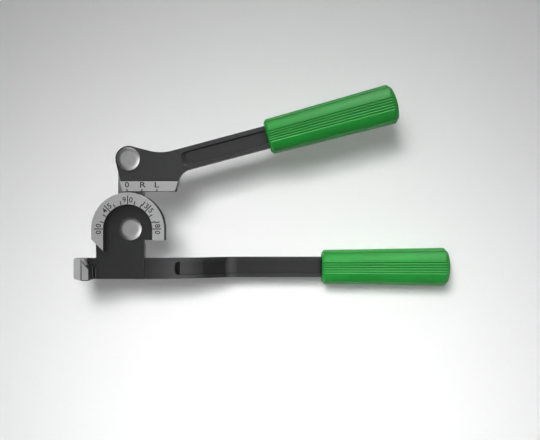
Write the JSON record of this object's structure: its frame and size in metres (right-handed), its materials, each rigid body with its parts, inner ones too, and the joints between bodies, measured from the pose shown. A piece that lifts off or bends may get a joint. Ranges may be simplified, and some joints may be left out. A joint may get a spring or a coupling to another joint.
{
  "type": "lever tube bender",
  "caption": "Hand tube bender: a grooved half-round forming wheel with a tube jaw on one handle, and a grooved shoe on a lever that a link carries round the wheel.",
  "frame": {"origin": "on the forming wheel's axis, level with the centreline of the tube", "axes": "+X along the form handle to its grip, +Y to the lever's pin at the 90 degree mark, +Z out of the scale face along the wheel's axis"},
  "size_m": [0.3228, 0.1701, 0.0699],
  "materials": {
    "black_forging": "satin black coat on a steel forging",
    "plated_casting": "satin, black in the sunken web",
    "steel": "satin",
    "bright_steel": "turned and polished",
    "bronze": "plain bearing bronze",
    "green_grip": "soft matte sleeve"
  },
  "bodies": {
    "form_body": {"form_handle": "black_forging", "forming_wheel": "plated_casting", "wheel_screws": "steel", "wheel_dowels": "steel", "centre_pin": "bright_steel", "centre_thrust_washer": "bronze", "centre_back_washer": "steel", "centre_retaining_ring": "steel", "lower_grip": "green_grip"},
    "link_body": {"link": "steel", "centre_bush": "bronze", "lever_bush": "bronze"},
    "lever_body": {"shoe_lever": "black_forging", "lever_pin": "bright_steel", "lever_thrust_washer": "bronze", "lever_back_washer": "steel", "lever_retaining_ring": "steel", "upper_grip": "green_grip"}
  },
  "joints": [
    {"name": "link_swing", "type": "hinge", "parent": "form_body", "child": "link_body", "pos_m": [0, 0, 0], "axis": [0, 0, 1], "range_deg": [-90, 90]},
    {"name": "lever_swing", "type": "hinge", "parent": "link_body", "child": "lever_body", "pos_m": [0, 0.058, 0], "axis": [0, 0, 1], "range_deg": [-4, 110]}
  ]
}
